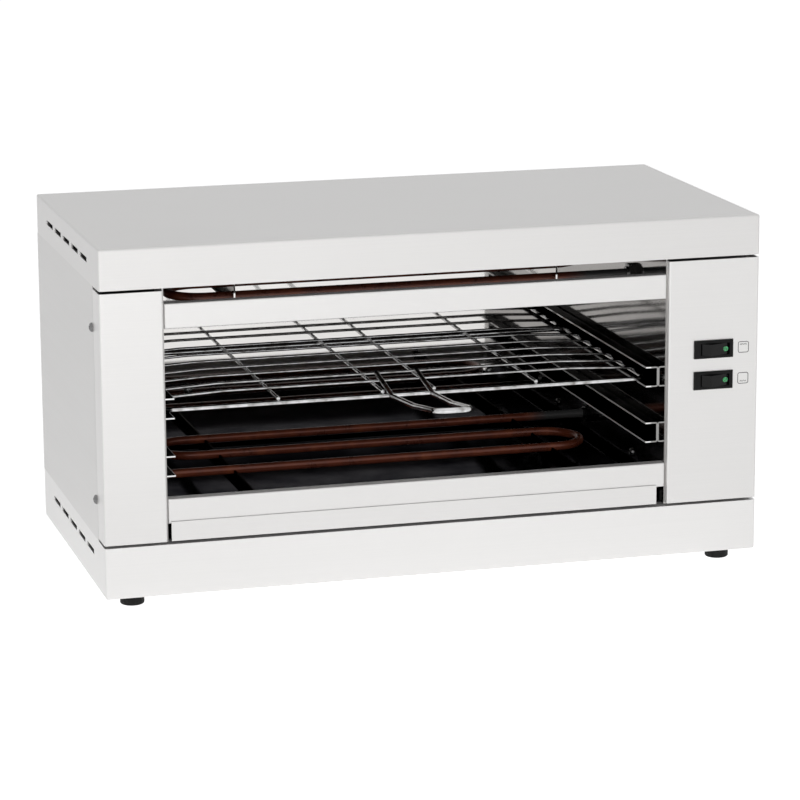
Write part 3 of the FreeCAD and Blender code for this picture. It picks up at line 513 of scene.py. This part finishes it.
def rounded_path(points, bends):
    """Straight runs with an arc at each inner point, as points along the line."""
    spots = [Vector(point) for point in points]
    path = [spots[0]]
    for before, corner, after, radius in zip(spots, spots[1:], spots[2:], bends):
        ahead = (corner - before).normalized()
        onward = (after - corner).normalized()
        turn = ahead.angle(onward)
        start = corner - ahead * radius * math.tan(turn / 2)
        inward = (onward - ahead * math.cos(turn)).normalized()
        centre = start + inward * radius
        count = max(2, math.ceil(turn / ARC_STEP))
        for index in range(count + 1):
            angle = turn * index / count
            swing = ahead * math.sin(angle) - inward * math.cos(angle)
            path.append(centre + swing * radius)
    path.append(spots[-1])
    return path


def tube(bm, path, radius, closed=False, sides=20, cap=0.35):
    """Sweep a circle along a path, carrying its turn from ring to ring.

    Open ends are domed by cap times the radius.
    """
    count = len(path)
    aims = []
    for index in range(count):
        ahead = path[(index + 1) % count] if closed else path[min(index + 1, count - 1)]
        behind = path[index - 1] if closed or index else path[0]
        aims.append((ahead - behind).normalized())
    side = aims[0].orthogonal().normalized()
    rings = []
    for spot, aim in zip(path, aims):
        side = (side - aim * side.dot(aim)).normalized()
        rings.append(circle(bm, spot, side, aim.cross(side), radius, sides))
    for first, second in zip(rings, rings[1:]):
        bridge(bm, first, second)
    if closed:
        bridge(bm, rings[-1], rings[0])
        return
    for ring, spot, out in ((rings[0], path[0], -aims[0]), (rings[-1], path[-1], aims[-1])):
        tip = bm.verts.new(spot + out * radius * cap)
        for k in range(sides):
            bm.faces.new((ring[k], ring[(k + 1) % sides], tip))


# Wire rack

FRAME_ROD = 1.9 * MM
CROSS_ROD = 1.1 * MM
DEPTH_ROD = 1.3 * MM
HANDLE_ROD = 1.95 * MM
THIN_SIDES = 14
FRAME_CORNER = 9.0 * MM
CROSS_PITCH = 25.6 * MM
CROSS_SLOPE = 50.0 * MM
CROSS_OVERHANG = 1.5 * MM
# The least distance from the last cross rod to the frame's back rod.
CROSS_MARGIN = CROSS_PITCH / 4
ROD_BEND = 25.0 * MM
DEPTH_ROD_OFFSETS = (-97.3 * MM, -19.4 * MM, 19.4 * MM, 97.3 * MM)
HANDLE_HALF_WIDTH = 15.3 * MM
HANDLE_TIP_HALF_WIDTH = 13.0 * MM
HANDLE_OVERLAP = 8.0 * MM
HANDLE_DIP_REACH = 10.7 * MM
HANDLE_DIP_SHARE = 0.36
HANDLE_RISE = 14.5 * MM
HANDLE_RISE_BEND = 90.0 * MM
HANDLE_TIP_BEND = 10.5 * MM
WELD_REACH = 1.15 * MM
WELD_HEIGHT = 0.5 * MM


class Rack:
    """The rack's lines, read from the frame rod's box."""
    low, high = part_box("rack_frame")
    left = low.x + FRAME_ROD
    right = high.x - FRAME_ROD
    front = low.y + FRAME_ROD
    back = high.y - FRAME_ROD
    level = (low.z + high.z) / 2
    middle = (left + right) / 2
    depth_level = level + FRAME_ROD + DEPTH_ROD
    cross_level = depth_level + DEPTH_ROD + CROSS_ROD
    cross_end_level = level + FRAME_ROD + CROSS_ROD
    cross_places = []
    place = front + CROSS_PITCH
    while place < back - CROSS_MARGIN:
        cross_places.append(place)
        place += CROSS_PITCH


def rack_frame():
    corners = (
        (Rack.middle, Rack.front), (Rack.right, Rack.front), (Rack.right, Rack.back),
        (Rack.left, Rack.back), (Rack.left, Rack.front), (Rack.middle, Rack.front),
    )
    path = rounded_path([(x, y, Rack.level) for x, y in corners], [FRAME_CORNER] * 4)
    bm = bmesh.new()
    tube(bm, path[:-1], FRAME_ROD, closed=True)
    piece("frame_wire", bm, "chrome_wire", "rack", "rack_frame")


def rack_rods():
    """Cross rods that bend down to the frame at both ends, and straight depth rods under them."""
    bm = bmesh.new()
    for y in Rack.cross_places:
        points = (
            (Rack.left - CROSS_OVERHANG, y, Rack.cross_end_level),
            (Rack.left + CROSS_SLOPE, y, Rack.cross_level),
            (Rack.right - CROSS_SLOPE, y, Rack.cross_level),
            (Rack.right + CROSS_OVERHANG, y, Rack.cross_end_level),
        )
        tube(bm, rounded_path(points, [ROD_BEND] * 2), CROSS_ROD, sides=THIN_SIDES)
    piece("cross_wires", bm, "chrome_wire", "rack", "rack_cross_rods")
    bm = bmesh.new()
    for offset in DEPTH_ROD_OFFSETS:
        x = Rack.middle + offset
        ends = [Vector((x, y, Rack.depth_level)) for y in (Rack.front, Rack.back)]
        tube(bm, ends, DEPTH_ROD, sides=THIN_SIDES)
    piece("depth_wires", bm, "chrome_wire", "rack", "rack_depth_rods")


def handle_side():
    """One leg of the handle, from its rear end to the tip, as (half width, y, z).

    It rests on the first cross rod and on the frame's front rod, dips, and rises to the tip.
    """
    over_cross = CROSS_ROD + HANDLE_ROD
    over_frame = FRAME_ROD + HANDLE_ROD
    drop = Rack.cross_level - Rack.level
    span = math.hypot(CROSS_PITCH, drop)
    slope = math.atan2(drop, CROSS_PITCH) - math.asin((over_frame - over_cross) / span)
    seat_y = Rack.front - math.sin(slope) * over_frame
    seat_z = Rack.level + math.cos(slope) * over_frame
    rear = CROSS_PITCH + HANDLE_OVERLAP
    rear_y = seat_y + math.cos(slope) * rear
    rear_z = seat_z + math.sin(slope) * rear
    dip_y = seat_y - math.cos(slope) * HANDLE_DIP_REACH
    dip_z = seat_z - math.sin(slope) * HANDLE_DIP_REACH
    tip_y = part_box("rack_handle")[LOW].y + HANDLE_ROD
    tip_z = Rack.level + HANDLE_RISE
    half_way = (HANDLE_HALF_WIDTH + HANDLE_TIP_HALF_WIDTH) / 2
    return (
        (HANDLE_HALF_WIDTH, rear_y, rear_z),
        (HANDLE_HALF_WIDTH, dip_y, dip_z),
        (half_way, (dip_y + tip_y) / 2, dip_z + (tip_z - dip_z) * HANDLE_DIP_SHARE),
        (HANDLE_TIP_HALF_WIDTH, tip_y, tip_z),
    )


def rack_handle():
    side = handle_side()
    points = [(Rack.middle - x, y, z) for x, y, z in side]
    points += [(Rack.middle + x, y, z) for x, y, z in reversed(side)]
    half = [ROD_BEND, HANDLE_RISE_BEND, HANDLE_TIP_BEND]
    bm = bmesh.new()
    tube(bm, rounded_path(points, half + half[::-1]), HANDLE_ROD)
    piece("handle_wire", bm, "chrome_wire", "rack", "rack_handle")


def weld_beads():
    """A small flattened bead where each pair of wires is spot-welded."""
    depth_rods = [Rack.middle + offset for offset in DEPTH_ROD_OFFSETS]
    on_frame = Rack.level + FRAME_ROD
    spots = []
    for y in Rack.cross_places:
        spots += [(x, y, on_frame) for x in (Rack.left, Rack.right)]
        spots += [(x, y, Rack.depth_level + DEPTH_ROD) for x in depth_rods]
    spots += [(x, y, on_frame) for x in depth_rods for y in (Rack.front, Rack.back)]
    shape = Matrix.Diagonal((WELD_REACH, WELD_REACH, WELD_HEIGHT, 1.0))
    bm = bmesh.new()
    for spot in spots:
        bead = Matrix.Translation(spot) @ shape
        bmesh.ops.create_icosphere(bm, subdivisions=2, radius=1.0, matrix=bead)
    piece("weld_beads", bm, "chrome_wire", "rack")


# Heating elements

TUBE_PITCH = 50.0 * MM
LOWER_BEND_GAP = 35.0 * MM
END_GAP = 22.0 * MM
TUBE_SIDES = 24
TUBE_CAP = 0.05


def element(name, node, side, finish):
    """Three runs joined by half turns; side is 1 where the rear run leaves on the right."""
    low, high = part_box(node)
    level = (low.z + high.z) / 2
    middle = (low.y + high.y) / 2
    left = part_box("chamber_left_wall")[HIGH].x + END_GAP
    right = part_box("chamber_right_wall")[LOW].x - (LOWER_BEND_GAP if side > 0 else END_GAP)
    stops = (low.x, right, left, high.x) if side > 0 else (high.x, left, right, low.x)
    points = []
    for run, ends in enumerate(zip(stops, stops[1:])):
        y = middle + (run - 1) * TUBE_PITCH
        points += [(x, y, level) for x in ends]
    path = rounded_path(points, [TUBE_PITCH / 2] * 4)
    bm = bmesh.new()
    tube(bm, path, HEATER_TUBE, sides=TUBE_SIDES, cap=TUBE_CAP)
    piece(name, bm, finish, "cabinet", node)


# Screws

HEAD_RADIUS = 3.5 * MM
HEAD_HEIGHT = 2.2 * MM
# The power of a superellipse: 2 is half an ellipsoid, and more is flatter on top.
HEAD_DOME = 2.6
HEAD_RINGS = 9
HEAD_SIDES = 48
HEAD_SHARP = math.radians(28)
RECESS_HALF_WIDTH = 0.42 * MM
RECESS_REACH = 1.9 * MM
RECESS_DEPTH = 0.9 * MM


def cross_head(bm, place, out):
    """A domed head with a cross recess sunk into it."""
    side = out.orthogonal().normalized()
    across = out.cross(side)
    rows = []
    for ring in range(HEAD_RINGS + 1):
        share = ring / HEAD_RINGS
        dome = HEAD_HEIGHT * math.sqrt(1 - share ** HEAD_DOME)
        row = []
        for index in range(HEAD_SIDES):
            angle = math.tau * index / HEAD_SIDES
            u = HEAD_RADIUS * share * math.cos(angle)
            v = HEAD_RADIUS * share * math.sin(angle)
            near, far = sorted((abs(u), abs(v)))
            sunk = near < RECESS_HALF_WIDTH and far < RECESS_REACH
            height = dome - RECESS_DEPTH if sunk else dome
            row.append(bm.verts.new(place + side * u + across * v + out * height))
        rows.append(row)
    for first, second in zip(rows, rows[1:]):
        bridge(bm, first, second)
    bm.faces.new(rows[-1])
    bmesh.ops.remove_doubles(bm, verts=bm.verts, dist=MERGE)


def head_boxes(node):
    """The lowest and highest corner of each head in a node, read from the frame's mesh."""
    bm = bmesh.new()
    bm.from_mesh(frame["nodes"][node].data)
    bmesh.ops.remove_doubles(bm, verts=bm.verts, dist=MERGE)
    seen = set()
    boxes = []
    for start in bm.verts:
        if start in seen:
            continue
        group, queue = [], [start]
        seen.add(start)
        while queue:
            vert = queue.pop()
            group.append(vert.co.copy())
            for edge in vert.link_edges:
                other = edge.other_vert(vert)
                if other not in seen:
                    seen.add(other)
                    queue.append(other)
        boxes.append((Vector(map(min, zip(*group))), Vector(map(max, zip(*group)))))
    bm.free()
    return boxes


def heads(name, node, way):
    """Domed heads in place of the frame's plain ones; way gives each head's outward direction."""
    bm = bmesh.new()
    for low, high in head_boxes(node):
        centre = (low + high) / 2
        out = Vector(way(centre))
        cross_head(bm, centre - out * HEAD_HEIGHT / 2, out)
    piece(name, bm, "screw_steel", "cabinet", node, smooth_angle=HEAD_SHARP)


def side_way(centre):
    return (math.copysign(1, centre.x), 0, 0)


def rear_way(centre):
    return (0, 1, 0)


def chamber_way(centre):
    """Into the chamber, from the wall that the screw sits on."""
    if centre.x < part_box("chamber_left_wall")[HIGH].x + HEAD_HEIGHT:
        return (1, 0, 0)
    if centre.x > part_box("chamber_right_wall")[LOW].x - HEAD_HEIGHT:
        return (-1, 0, 0)
    return (0, -1, 0)


# Feet

FOOT_RECESS = 4.6 * MM
FOOT_RECESS_DEPTH = 4.0 * MM
FOOT_HOLE = 2.3 * MM
FOOT_BEVEL = 0.3 * MM
FOOT_RIM = 1.4 * MM
FOOT_RIM_STEPS = 6
FOOT_LINE_DEPTH = 0.15 * MM
# The moulding line's top, groove and bottom, as shares of the foot's height.
FOOT_LINE_SHARES = (0.62, 0.60, 0.58)
FOOT_SIDES = 56
FOOT_SHARP = math.radians(35)


def foot(node):
    """A rubber foot with a rounded rim, a moulding line and a recess for its screw."""
    low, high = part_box(node)
    radius = (high.x - low.x) / 2
    height = high.z - low.z
    top, line, bottom = (height * share for share in FOOT_LINE_SHARES)
    profile = [
        (FOOT_HOLE, height), (radius - FOOT_BEVEL, height), (radius, height - FOOT_BEVEL),
        (radius, top), (radius - FOOT_LINE_DEPTH, line), (radius, bottom),
    ]
    for step in range(FOOT_RIM_STEPS + 1):
        angle = math.pi / 2 * step / FOOT_RIM_STEPS
        inset = FOOT_RIM * (1 - math.cos(angle))
        profile.append((radius - inset, FOOT_RIM * (1 - math.sin(angle))))
    profile += [
        (FOOT_RECESS, 0.0), (FOOT_RECESS, FOOT_RECESS_DEPTH), (FOOT_HOLE, FOOT_RECESS_DEPTH),
    ]
    up = Vector((0, 0, 1))
    side = up.orthogonal().normalized()
    base = Vector(((low.x + high.x) / 2, (low.y + high.y) / 2, low.z))
    bm = bmesh.new()
    rings = [
        circle(bm, base + up * level, side, up.cross(side), reach, FOOT_SIDES)
        for reach, level in profile
    ]
    for first, second in zip(rings, rings[1:] + rings[:1]):
        bridge(bm, first, second)
    piece(node + "_rubber", bm, "black_rubber", "cabinet", node, smooth_angle=FOOT_SHARP)


# Marks beside the switches

MARK_SIZE = 8.0 * MM
MARK_LINE = 0.46 * MM
MARK_PROUD = 0.03 * MM
MARK_GAP = 4.4 * MM
MARK_CORNER = 1.3 * MM
MARK_CORNER_STEPS = 5
WAVE_STEPS = 8
WAVE_LENGTH = 0.62 * MARK_SIZE
WAVE_OFFSET = 0.27 * MARK_SIZE
WAVE_HEIGHT = 0.45 * MM


def stroke(bm, points, place, closed):
    """A printed line through points given in the panel's plane."""
    count = len(points)
    rows = []
    for index, spot in enumerate(points):
        ahead = points[(index + 1) % count] if closed or index + 1 < count else spot
        behind = points[index - 1] if closed or index else spot
        aim = (ahead - behind).normalized()
        side = Vector((-aim.y, aim.x)) * MARK_LINE / 2
        corners = (spot + side, spot - side)
        rows.append([
            bm.verts.new(place + Vector((corner.x, -MARK_PROUD, corner.y))) for corner in corners
        ])
    following = rows[1:] + rows[:1] if closed else rows[1:]
    for first, second in zip(rows, following):
        bm.faces.new((first[0], first[1], second[1], second[0]))


def rounded_square(half, corner):
    points = []
    for turn, (right, up) in enumerate(((1, 1), (-1, 1), (-1, -1), (1, -1))):
        middle = Vector((right, up)) * (half - corner)
        for step in range(MARK_CORNER_STEPS + 1):
            angle = math.pi / 2 * (turn + step / MARK_CORNER_STEPS)
            points.append(middle + Vector((math.cos(angle), math.sin(angle))) * corner)
    return points


def wave(side):
    """A zigzag near the mark's upper edge where side is 1, and near its lower edge at -1."""
    points = []
    for step in range(WAVE_STEPS + 1):
        across = (step / WAVE_STEPS - 0.5) * WAVE_LENGTH
        swing = WAVE_HEIGHT if step % 2 else -WAVE_HEIGHT
        points.append(Vector((across, side * WAVE_OFFSET + swing)))
    return points


def switch_marks():
    """Next to each switch, a box with a wavy line at the end that its element heats."""
    panel_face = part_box("control_panel")[LOW].y
    bm = bmesh.new()
    for node, side in (("upper_switch_housing", 1), ("lower_switch_housing", -1)):
        low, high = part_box(node)
        centre = Vector((high.x + MARK_GAP + MARK_SIZE / 2, panel_face, (low.z + high.z) / 2))
        stroke(bm, rounded_square(MARK_SIZE / 2, MARK_CORNER), centre, True)
        stroke(bm, wave(side), centre, False)
    piece("switch_marks", bm, "mark_ink", "cabinet")


# Floor, light and camera

FLOOR_HALF = 8.0
FLOOR_DARK = 0.90
FLOOR_LIGHT = 0.92
FLOOR_GLOW = 0.86
WORLD_LEVEL = 0.20
LAMP_PLACE = Vector((-0.55, -2.2, 0.5))
LAMP_TARGET = Vector((0.0, 0.0, 0.12))
LAMP_WIDTH = 1.1
LAMP_POWER = 29
CAMERA_AZIMUTH = math.radians(-15.524)
CAMERA_ELEVATION = math.radians(12.804)
CAMERA_ROLL = math.radians(-0.322)
CAMERA_OFFSET = Vector((5.58, 99.72, 2611.67)) * MM
BODY_ORIGIN = Vector((0.0, 32.975, 9.0)) * MM
PHOTO_WIDTH_PX = 800.0
FOCAL_PX = 3432.3
SENSOR_MM = 36.0
CLIP_NEAR = 0.05
CLIP_FAR = 50.0


def stage():
    """A floor that looks white to the camera and in reflections, and keeps the object's shadow."""
    graph = Graph("floor_white")
    dark, light = grey(FLOOR_DARK), grey(FLOOR_LIGHT)
    paint = graph.shade(graph.noise(2.0), dark, light, start=0.0, end=1.0)
    graph.surface(Base_Color=paint, Roughness=0.9, Specular_IOR_Level=0.0)
    glow = graph.add("ShaderNodeEmission")
    strength = graph.maths("MULTIPLY", graph.background_rays(), FLOOR_GLOW)
    graph.feed(glow.inputs["Strength"], strength)
    both = graph.add("ShaderNodeAddShader")
    graph.feed(both.inputs[0], graph.shader.outputs[0])
    graph.feed(both.inputs[1], glow.outputs[0])
    graph.feed(graph.tree.nodes["Material Output"].inputs["Surface"], both.outputs[0])
    mesh = bpy.data.meshes.new("floor")
    bm = bmesh.new()
    bmesh.ops.create_grid(bm, x_segments=1, y_segments=1, size=FLOOR_HALF)
    bm.to_mesh(mesh)
    bm.free()
    floor = bpy.data.objects.new("floor", mesh)
    floor.data.materials.append(graph.material)
    bpy.context.scene.collection.objects.link(floor)


def surroundings():
    """White to the camera and to reflections, and a dim grey light on matt surfaces."""
    world = bpy.data.worlds.new("surroundings")
    world.use_nodes = True
    nodes = Nodes(world.node_tree)
    background = nodes.tree.nodes["Background"]
    nodes.feed(background.inputs["Color"], (1, 1, 1, 1))
    strength = nodes.choose(nodes.background_rays(), WORLD_LEVEL, 1.0)
    nodes.feed(background.inputs["Strength"], strength)
    bpy.context.scene.world = world


def softbox():
    """A large soft lamp near the camera, which reflections don't show."""
    data = bpy.data.lights.new("front_softbox", "AREA")
    data.shape = "DISK"
    data.size = LAMP_WIDTH
    data.energy = LAMP_POWER
    holder = bpy.data.objects.new("front_softbox", data)
    holder.location = LAMP_PLACE
    aim = LAMP_TARGET - LAMP_PLACE
    holder.rotation_euler = aim.to_track_quat("-Z", "Y").to_euler()
    holder.visible_glossy = False
    bpy.context.scene.collection.objects.link(holder)


def camera():
    """The photograph's viewpoint: a long lens from the left, a little above."""
    az, el, roll = CAMERA_AZIMUTH, CAMERA_ELEVATION, CAMERA_ROLL
    back = Vector((math.sin(az) * math.cos(el), -math.cos(az) * math.cos(el), math.sin(el)))
    level_right = Vector((math.cos(az), math.sin(az), 0.0))
    level_up = back.cross(level_right)
    right = level_right * math.cos(roll) + level_up * math.sin(roll)
    up = level_up * math.cos(roll) - level_right * math.sin(roll)
    turn = Matrix((right, up, back)).transposed()
    data = bpy.data.cameras.new("camera")
    data.sensor_width = SENSOR_MM
    data.lens = FOCAL_PX / PHOTO_WIDTH_PX * SENSOR_MM
    data.clip_start = CLIP_NEAR
    data.clip_end = CLIP_FAR
    holder = bpy.data.objects.new("camera", data)
    place = turn @ CAMERA_OFFSET + BODY_ORIGIN
    holder.matrix_world = Matrix.Translation(place) @ turn.to_4x4()
    bpy.context.scene.collection.objects.link(holder)
    bpy.context.scene.camera = holder


# The scene

finish_nodes()
rack_frame()
rack_rods()
rack_handle()
weld_beads()
element("upper_tube", "upper_heating_element", -1, "upper_sheath")
element("lower_tube", "lower_heating_element", 1, "heater_sheath")
heads("side_heads", "side_screws", side_way)
heads("rear_heads", "rear_screws", rear_way)
heads("chamber_heads", "chamber_screws", chamber_way)
for node in ("front_left_foot", "rear_left_foot", "front_right_foot", "rear_right_foot"):
    foot(node)
switch_marks()
stage()
surroundings()
softbox()
camera()

bpy.context.scene.view_settings.view_transform = "Standard"
